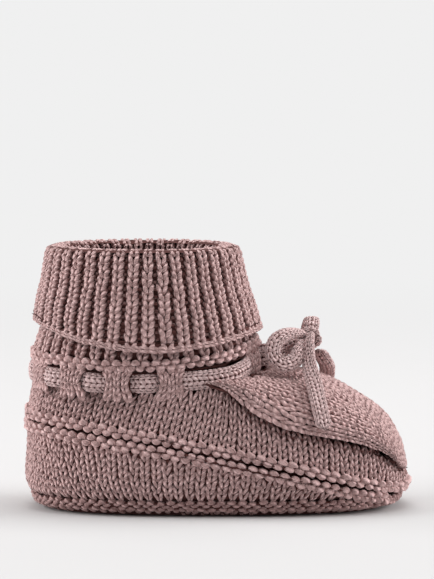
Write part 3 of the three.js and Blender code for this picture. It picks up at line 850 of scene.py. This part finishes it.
def bridge_cloth(middle):
    """A few columns of stitches over the drawstring, wider apart at their foot than at their top."""
    angles = middle + np.linspace(-0.6, 0.6, 121)
    steps = np.linalg.norm(np.diff(ankle_at(angles, 0 * angles + ANKLE_LEVEL), axis=0), axis=1)
    along = np.concatenate([[0], np.cumsum(steps)]) - steps[:len(steps) // 2].sum()

    def place(s, t):
        rise = (t - 0.4) / (BAND_ROWS - 1.4)
        spread = BRIDGE_PITCH * (1.2 - 0.34 * np.sin(math.pi * np.clip(rise, -0.2, 1)))
        angle = np.interp((s - BRIDGE_STITCHES / 2) * spread, along, angles)
        z = level_on(ankle_at, angle, eyelets) + (rise - 0.5) * EYELET_BAND
        bulge = 0.2 + 0.7 * np.sin(math.pi * np.clip(rise, 0, 1))
        return ankle_at(angle, z, -bulge)
    return Cloth(place, BRIDGE_STITCHES, BAND_ROWS, closed=False)


def rim_place(level):
    """Rounds of stitches that start at a level over or under the eyelets' line."""
    def place(s, t):
        angle = ankle_turn(s / ANKLE_STITCHES)
        return ankle_at(angle, level_on(ankle_at, angle, eyelets) + level + t * BAND_ROW)
    return place


eyelet_round = Work("eyelet_band_knitting", 7)
bridge_stitch = plain(BRIDGE_PITCH, BAND_ROW, BRIDGE_GAUGE)
for middle in [side * angle for angle in BRIDGES for side in (1, -1)]:
    eyelet_round.knit(bridge_cloth(middle), bridge_stitch, cells_of(BRIDGE_STITCHES, BAND_ROWS),
                      (BRIDGE_PITCH, BAND_ROW), 0.1)
heel_rows = Cloth(rim_place(-EYELET_BAND / 2), ANKLE_STITCHES, HEEL_ROWS)
cells = cells_of(ANKLE_STITCHES, HEEL_ROWS)
places = heel_rows.at(cells[:, 0], cells[:, 1], 0 * cells[:, 0])
at_heel = np.abs(np.arctan2(places[:, 1], places[:, 0] - ANKLE_MIDDLE)) > BRIDGES[-1] + 0.02
eyelet_round.knit(heel_rows, PLAIN, cells[at_heel], (WIDTH, BAND_ROW), 0.1)
finish_piece(eyelet_round, "eyelet_band", "shoe", 0.9)

# %% Ankle ridge and ankle rib
ANKLE_RIBS = round(ankle_length / RIB)
ANKLE_RIB_ROWS = 6
ridge_line = Cloth(rim_place(EYELET_BAND / 2 + 1.6), ANKLE_STITCHES, 1)
ankle_ridge = Work("ankle_ridge_knitting", 8)
ankle_ridge.knit(ridge_line, GARTER, cells_of(ANKLE_STITCHES, 1), (WIDTH, BAND_ROW), 0.2, 0.05)
finish_piece(ankle_ridge, "ankle_ridge", "shoe", 1.4)

RIB_BUMP = bead(1.6, RIB_ROW, 1.1, -1.3, bend=0.25)


def knit_rib(work, cloth, stitches, rows, width, height=0.0):
    """One knit column and one sunk purl column in each stitch of the cloth."""
    work.knit(cloth, plain(width * 0.75, RIB_ROW, RIB_GAUGE * min(width / RIB, 1)),
              cells_of(stitches, rows), (width, RIB_ROW), height, 0.03)
    work.knit(cloth, RIB_BUMP, cells_of(stitches, rows, 0.3, 1.0), (width, RIB_ROW), height, 0.03)


def ankle_rib_place(s, t):
    angle = ankle_turn(s / ANKLE_RIBS)
    base = level_on(ankle_at, angle, eyelets) + EYELET_BAND / 2 + ANKLE_RIDGE + 1.2
    return ankle_at(angle, base + t * RIB_ROW)


ankle_rib = Work("ankle_rib_knitting", 9)
ankle_rib_cloth = Cloth(ankle_rib_place, ANKLE_RIBS, ANKLE_RIB_ROWS)
knit_rib(ankle_rib, ankle_rib_cloth, ANKLE_RIBS, ANKLE_RIB_ROWS, ankle_length / ANKLE_RIBS)
finish_piece(ankle_rib, "ankle_rib", "shoe", 1.4)

# %% [markdown]
# ## Cuff
# The cuff is one long tube of rib, folded in half over its own top. Its deep purl valleys make the
# strong shadows of the shoe. A pleated surface would give the valleys but not the V's on them, so
# each rib is a column of large V's with small sunk bumps beside it. The same number of ribs goes up
# the flap, over the roll and down the inside, and a flat bound-off edge runs round the hem.

# %% Flap
cuff_turn, cuff_length = even_angles(cuff_at, 0.5)
CUFF_RIBS = round(cuff_length / RIB)
CUFF_RIB = cuff_length / CUFF_RIBS
FLAP_ROWS = 12
FLAP_START = 0.1


def flap_place(s, t):
    rise = FLAP_START + (1 - FLAP_START) * (t + 0.1) / FLAP_ROWS
    return cuff_at(cuff_turn(s / CUFF_RIBS), rise)


flap = Work("cuff_flap_knitting", 10)
knit_rib(flap, Cloth(flap_place, CUFF_RIBS, FLAP_ROWS), CUFF_RIBS, FLAP_ROWS, CUFF_RIB)
finish_piece(flap, "cuff_flap", "cuff", 1.7)
print("ribs round the cuff:", CUFF_RIBS)

# %% Roll
ROLL_ROWS = 4
ROLL_SINK = 0.4        # how far the roll's loops start under the flap's top
lip_sizes = ankle_sizes(np.array(67.0), FABRIC + JOIN)


def lip_at(angle, z, depth=0.0):
    back, front, half, widest, square = lip_sizes
    x, y = oval(angle, back + depth, front - depth, half - depth, widest, square)
    return np.stack([x, y, z], -1)


def roll_place(s, t):
    angle = cuff_turn(s / CUFF_RIBS)
    bow = math.pi * (t + 0.5) / ROLL_ROWS
    share = ((1 - np.cos(np.clip(bow, 0, math.pi))) / 2)[..., None]
    outside, inside = cuff_at(angle, 0 * t + 1), lip_at(angle, 0 * t, FABRIC)
    place = outside + (inside - outside) * share
    past = np.minimum(bow, 0) + np.minimum(math.pi - bow, 0)
    rise = np.where(past < 0, past, np.sin(np.clip(bow, 0, math.pi)))
    place[..., 2] = CUFF_TOP - ROLL_SINK + CUFF_ROLL * rise
    return place


roll = Work("cuff_roll_knitting", 11)
knit_rib(roll, Cloth(roll_place, CUFF_RIBS, ROLL_ROWS), CUFF_RIBS, ROLL_ROWS, CUFF_RIB)
finish_piece(roll, "cuff_roll", "cuff", 1.2, visible_side=0)

# %% Lip inside the ankle
LIP_FOOT = 0.6         # height of the first row over the lip's lower end
LIP_ROWS = int((LIP_HIGH - LIP_LOW) / RIB_ROW)


def lip_place(s, t):
    angle = cuff_turn(1 - s / CUFF_RIBS)
    return lip_at(angle, LIP_LOW + LIP_FOOT + t * RIB_ROW, FABRIC)


lip = Work("cuff_lip_knitting", 12)
knit_rib(lip, Cloth(lip_place, CUFF_RIBS, LIP_ROWS), CUFF_RIBS, LIP_ROWS, CUFF_RIB)
finish_piece(lip, "cuff_lip", "cuff", 1.4, visible_side=-1)

# %% Bound-off edge
EDGE_STITCHES = 2 * CUFF_RIBS
HEM_ROW, HEM_GAUGE = 1.7, 1.15


def hem_place(s, t):
    angle = cuff_turn(s / EDGE_STITCHES)
    point = cuff_at(angle, 0 * t)
    above = cuff_at(angle, 0 * t + FLAP_START)
    return point + (above - point) * ((t + 0.45) / HEM_ROW)[..., None]


def chain(width, row, gauge):
    """A bound-off stitch: two flat strands that lie along the edge and dip into the next one."""
    t = np.linspace(0, 1, 7)
    strands = []
    for side in (1, -1):
        y = side * row * (0.12 + 0.2 * np.sin(math.pi * t))
        h = -gauge * 0.5 - gauge * 0.5 * np.abs(2 * t - 1) ** 3
        full = 0.7 + 0.3 * np.sin(math.pi * t)
        line = np.stack([width * (1.3 * t - 0.65), y, h], -1)
        strands.append(strand(line, gauge * 0.5 * full, gauge * 0.5 * full))
    return stitch(*strands)


HEM = cuff_length / EDGE_STITCHES
hem = Work("cuff_edge_knitting", 13)
knit_rib(hem, Cloth(lambda s, t: flap_place(s, t - 1), CUFF_RIBS, 1), CUFF_RIBS, 1, CUFF_RIB)
hem_cloth = Cloth(hem_place, EDGE_STITCHES, 1)
hem_chain = chain(HEM, HEM_ROW, HEM_GAUGE)
hem.knit(hem_cloth, hem_chain, cells_of(EDGE_STITCHES, 1), (HEM, HEM_ROW), -0.2, 0.05)
finish_piece(hem, "cuff_edge", "cuff", 1.3)

# %% [markdown]
# ## Cords
# The drawstring and the bow are one narrow knitted band, about 4.6 mm wide. It is modelled as it
# is knitted: a tube of small V's, pressed flat, that follows a route. A band can twist, so each
# route also says which way its flat side faces. The routes keep within about 5 mm of those of the
# frame's own cords.

# %% A flat band along a route
CORD_WIDTH, CORD_THICK = 4.6, 2.7
CORD_WALES, CORD_WALE, CORD_ROW, CORD_GAUGE = 8, 1.6, 1.35, 0.68
ROUNDED = 1.6          # mm over which a closed end narrows
SPACING = 0.25         # mm between the points of a route
KNOT = (box("bow_knot")[0] + box("bow_knot")[1]) / 2
print("the knot's middle:", KNOT.round(1))


def route(points):
    """A smooth line through a list of points, in short even steps."""
    points = np.asarray(points, float)
    length = lengths_along(points)
    at = np.linspace(0, length[-1], int(length[-1] / SPACING))
    table = np.column_stack([length, points])
    return np.stack([smooth(table, at, k) for k in (1, 2, 3)], -1)


def length_of(line):
    return np.linalg.norm(np.diff(line, axis=0), axis=1).sum()


def band(line, facing, closed_ends, wide):
    """A Cloth round the band: stitches go round its section, and rows go along the route."""
    line = np.asarray(line, float)
    facing = np.broadcast_to(np.asarray(facing, float), line.shape)
    along = np.gradient(line, axis=0)
    along /= np.linalg.norm(along, axis=1, keepdims=True)
    out = facing - (facing * along).sum(1, keepdims=True) * along
    out /= np.linalg.norm(out, axis=1, keepdims=True)
    aside = np.cross(out, along)
    step = lengths_along(line)
    total = step[-1]
    rows = int(total / CORD_ROW)

    def place(s, t):
        at = np.clip(t * total / rows, 0, total)
        middle, across, above, forward = (
            np.stack([np.interp(at, step, part[:, k]) for k in range(3)], -1)
            for part in (line, aside, out, along))
        turn = 2 * math.pi * s / CORD_WALES
        size = np.ones_like(at)
        for ended, far in zip(closed_ends, (at, total - at)):
            if ended:
                size = size * np.sqrt(np.clip(1 - (1 - np.clip(far / ROUNDED, 0, 1)) ** 2, 0.04, 1))
        x = wide / 2 * size * np.sign(np.cos(turn)) * np.abs(np.cos(turn)) ** 0.8
        y = CORD_THICK / 2 * size * np.sign(np.sin(turn)) * np.abs(np.sin(turn)) ** 0.8
        beyond = np.where(t < 0, t, np.where(t > rows, t - rows, 0)) * total / rows
        return middle + x[..., None] * across + y[..., None] * above + beyond[..., None] * forward

    return Cloth(place, CORD_WALES, rows), rows


# %% Knit a band
CORE_SIDES = 18
CORE_DEPTH = 0.42      # how far the core lies under the band's surface


def core_of(cloth, rows, name):
    """The closed inside of a band, a little under its loops, in the dark finish of painted shade."""
    s = np.arange(CORE_SIDES) * CORD_WALES / CORE_SIDES
    t = np.arange(rows * 2 + 1) / 2
    grid_t, grid_s = np.meshgrid(t, s, indexing="ij")
    points = cloth.at(grid_s, grid_t, np.full_like(grid_s, -CORE_DEPTH)).reshape(-1, 3) * MM
    faces = []
    for i in range(len(t) - 1):
        for j in range(CORE_SIDES):
            k = (j + 1) % CORE_SIDES
            a, b = i * CORE_SIDES, (i + 1) * CORE_SIDES
            faces.append((a + j, a + k, b + k, b + j))
    last = (len(t) - 1) * CORE_SIDES
    faces.append(tuple(reversed(range(CORE_SIDES))))
    faces.append(tuple(range(last, last + CORE_SIDES)))
    mesh = bpy.data.meshes.new(name)
    mesh.from_pydata(points.tolist(), [], faces)
    mesh.materials.append(DEPTH)
    core = bpy.data.objects.new(name, mesh)
    bpy.context.scene.collection.objects.link(core)
    return core


def small_leg(side, width, row, gauge):
    t = np.linspace(0, 1, 4)
    x = side * width * (0.08 + 0.34 * t)
    h = -gauge * 0.55 - gauge * 0.6 * np.abs(2 * t - 1) ** 2.5
    full = np.array([0.62, 1, 1, 0.62])
    return strand(np.stack([x, row * (-0.4 + 1.4 * t), h], -1), gauge * 0.5 * full, gauge * 0.45 * full)


def knit_band(node, body, seed, line, facing, ends, wide=CORD_WIDTH):
    """A band of small V's over its core, as one piece on a body."""
    work = Work(node + "_knitting", seed)
    cloth, rows = band(line, facing, ends, wide)
    form = stitch(*(small_leg(side, CORD_WALE, CORD_ROW, CORD_GAUGE) for side in (1, -1)))
    work.knit(cloth, form, cells_of(CORD_WALES, rows, 0.3), (CORD_WALE, CORD_ROW), 0.05, 0.03)
    core = core_of(cloth, rows, node + "_core")
    piece = work.make(PINK_CORD_LIT)
    join_up(piece, [core], body, node)
    return piece


# %% Routes of the bow, from the middle of the knot
BOW = {
    "right": {
        "side": -1,
        "loop": [(-1.6, 3, 1.2), (-4, 6, 2), (-6.8, 9.6, 2), (-9.6, 12.6, 0.2),
                 (-10.3, 14.4, -3), (-7.8, 15, -5.6), (-4.6, 13.6, -5), (-3.2, 10.8, -2.6),
                 (-2.2, 7, -1.6), (-0.6, 3.2, -1.6)],
        "loop_faces": [(0, -0.4, 1), (0, -0.5, 1), (-0.1, -1, 0.5), (0, -1, 0.1), (0.7, -0.8, 0),
                       (0.8, -0.5, 0)],
        "tail": [(0.4, 4, 0.4), (-0.2, 6.2, 0.2), (-0.6, 8.8, -1.2), (-0.6, 11.4, -3.8),
                 (-0.3, 14.6, -6.6), (0.7, 19, -10), (1.9, 24.2, -15.2), (3.4, 27.6, -21.6)],
        "tail_faces": [(-1, -0.4, 0.1), (-0.7, -0.8, 0.3), (0.1, -1, 0.5), (0.25, -1, 0.6)],
    },
    "left": {
        "side": 1,
        "loop": [(0.3, 3.4, 1.2), (0.5, 4.4, 2.8), (0.7, 7, 3.8), (0.6, 11, 3.7),
                 (0.1, 15.4, 1.4), (-0.9, 17, -2.4), (-1.9, 14, -5.4), (-1.7, 8.6, -4.6),
                 (-0.5, 3.9, -2.4)],
        "loop_faces": [(0, -1, 0.4), (0, -0.6, 1), (0, 0.6, 1), (0, 1, 0), (0, 0.4, -1)],
        "tail": [(2.4, 2.2, -3.4), (3.9, 4.6, -6.1), (4.7, 8.6, -7.7), (5.1, 12.8, -9.2),
                 (5.2, 17.4, -11.2), (5.1, 22.4, -14.8), (4.9, 26.6, -20), (4.8, 28.2, -25)],
        "tail_faces": [(0.1, 0.2, 1), (0.1, 0.7, 1), (0.1, 1, 0.8)],
    },
}
LACE = [(-10.9, 3.9, -4.2), (-8.4, 3.5, -3.4), (-5.8, 2.9, -2.1), (-3.3, 1.9, -1)]


def from_knot(points, side):
    return route([KNOT + (x, side * y, z) for x, y, z in points])


def turning(facings, line):
    """The way a band faces at each point of its line, from a few evenly spaced facings."""
    facings = np.array(facings, float)
    at = np.linspace(0, len(facings) - 1, len(line))
    return np.stack([np.interp(at, np.arange(len(facings)), facings[:, k]) for k in range(3)], -1)


# %% Loops and tails
for name, bow in BOW.items():
    loop_line = from_knot(bow["loop"], bow["side"])
    loop_facing = turning(bow["loop_faces"], loop_line)
    loop = knit_band(f"bow_loop_{name}", f"loop_{name}", 21, loop_line, loop_facing, (True, True))
    tail_line = from_knot(bow["tail"], bow["side"])
    tail_facing = turning(bow["tail_faces"], tail_line)
    tail = knit_band(f"bow_tail_{name}", f"tail_{name}", 22, tail_line, tail_facing, (True, True))
    print(name, "loop", round(length_of(loop_line), 1), "tail", round(length_of(tail_line), 1), "mm")

# %% Knot and laces
for name, bow in BOW.items():
    lace_line = from_knot(LACE, bow["side"])
    knit_band(f"lace_{name}", "bow", 23, lace_line, (0, bow["side"] * 0.8, 1), (False, False))

KNOT_BAND = 4.0        # the band is narrower where it is pulled tight
wrap = np.linspace(0.2, 2 * math.pi + 0.5, 60)
wrap_line = KNOT + np.stack([2.3 * np.cos(wrap), 0.5 * np.sin(wrap / 2), 1.9 * np.sin(wrap)], -1)
wrap_faces = np.stack([np.cos(wrap), 0 * wrap, np.sin(wrap)], -1)
knit_band("bow_knot", "bow", 24, wrap_line, wrap_faces, (True, True), KNOT_BAND)

# %% [markdown]
# ## Drawstring
# It lies in the channel of the eyelet round. A cord laid as an even oval would run through the
# bridges, so its depth follows them: it swells out where a window shows it and is drawn in under
# each bridge, and at the front it comes out towards the knot.

# %% Drawstring
FRONT_BRIDGE = BRIDGES[0] - 0.085
STRING_WIDTH = 5.5
UNDER_BRIDGE, IN_WINDOW = 3.0, 0.4         # how deep it lies in the fabric
string_angles = np.linspace(FRONT_BRIDGE, 2 * math.pi - FRONT_BRIDGE, 240)
past_front = np.abs(np.mod(string_angles + math.pi, 2 * math.pi) - math.pi)
under_one = sum(np.exp(-((past_front - middle) / 0.11) ** 2) for middle in BRIDGES)
string_depth = IN_WINDOW + (UNDER_BRIDGE - IN_WINDOW) * np.clip(under_one, 0, 1)
string_depth -= 2.1 * np.exp(-((past_front - 0.9) / 0.28) ** 2)
string_heights = level_on(ankle_at, string_angles, eyelets)
round_back = ankle_at(string_angles, string_heights, string_depth)
front_height = eyelets(np.array(ANKLE_FRONT))
ends = [np.array([ANKLE_FRONT + 1.6, side * 4.2, front_height + 0.5]) for side in (1, -1)]
leaving = [ankle_at(np.array(side * FRONT_BRIDGE * 0.65), front_height + 0.25, 1.6) for side in (1, -1)]
string_line = route([ends[0], leaving[0], *round_back[::6], leaving[1], ends[1]])
string_faces = string_line - (ANKLE_MIDDLE, 0, 0)
string_faces[:, 2] = 0
knit_band("drawstring", "shoe", 25, string_line, string_faces, (False, False), STRING_WIDTH)
print("drawstring in its channel", round(length_of(string_line)), "mm")

# %% [markdown]
# ## Stage and light
# The shoe stands in a white tent: a pale floor that runs into bright walls, one broad soft light
# above, and an open, darker front. That lights its top and both ends and leaves its near side softer.

# %% Stage
TENT = 1.9             # metres from the middle to a wall
SHEET_END = 0.2        # metres from the shoe at which the floor begins to fade into the walls
WALL_START = 0.75      # and at which it is as bright as they are
WHITE = 0.871
bpy.ops.mesh.primitive_cube_add(size=1, location=(0, 0, TENT / 2))
tent = bpy.context.active_object
tent.name = "tent"
tent.scale = (2 * TENT, 2 * TENT, TENT)
bpy.ops.object.transform_apply(location=True, rotation=False, scale=True)
bpy.ops.object.mode_set(mode="EDIT")
bpy.ops.mesh.select_all(action="SELECT")
bpy.ops.mesh.flip_normals()
bpy.ops.mesh.select_all(action="DESELECT")
bpy.ops.object.mode_set(mode="OBJECT")
for face in tent.data.polygons:
    middle = face.center
    face.select = middle.y < -0.9 * TENT or middle.z > 0.9 * TENT
bpy.ops.object.mode_set(mode="EDIT")
bpy.ops.mesh.select_mode(type="FACE")
bpy.ops.mesh.delete(type="FACE")
bpy.ops.object.mode_set(mode="OBJECT")

paper, start, place = new_finish("paper")
distance = start.node("ShaderNodeVectorMath", {0: place}, output=1, operation="LENGTH")
fade = {0: distance, 1: SHEET_END, 2: WALL_START, 3: 0.0, 4: 1.0}
bright = start.node("ShaderNodeMapRange", fade, interpolation_type="SMOOTHSTEP")
glow = start.node("ShaderNodeEmission", {"Color": (WHITE, WHITE, WHITE, 1), "Strength": 1.0})
sheet = start.node("ShaderNodeBsdfDiffuse", {"Color": (0.58, 0.574, 0.574, 1)})
mixed = start.node("ShaderNodeMixShader", {0: bright, 1: sheet, 2: glow})
paper.node_tree.links.new(paper.node_tree.nodes["Material Output"].inputs[0], mixed.socket)
tent.data.materials.append(paper)
print("tent:", 2 * TENT, "m wide")


# %% Lights
def soft_light(name, place, size, power):
    light = bpy.data.objects.new(name, bpy.data.lights.new(name, "AREA"))
    light.data.shape = "RECTANGLE"
    light.data.size, light.data.size_y = size
    light.data.energy = power
    light.location = place
    light.rotation_euler = (Vector((0, 0, 0.03)) - light.location).to_track_quat("-Z", "Y").to_euler()
    bpy.context.scene.collection.objects.link(light)
    return light


soft_light("top_light", Vector((0.1, 0.15, 1.5)), (1.6, 1.2), 19)
soft_light("heel_light", Vector((-1.3, 0.0, 0.5)), (1.0, 1.0), 17)
soft_light("toe_light", Vector((1.3, 0.1, 0.5)), (1.0, 1.0), 16)
world = bpy.data.worlds.new("room")
bpy.context.scene.world = world
world.use_nodes = True
world.node_tree.nodes["Background"].inputs[0].default_value = (0.15, 0.146, 0.146, 1)
world.node_tree.nodes["Background"].inputs[1].default_value = 1.0
bpy.context.scene.view_settings.view_transform = "Standard"
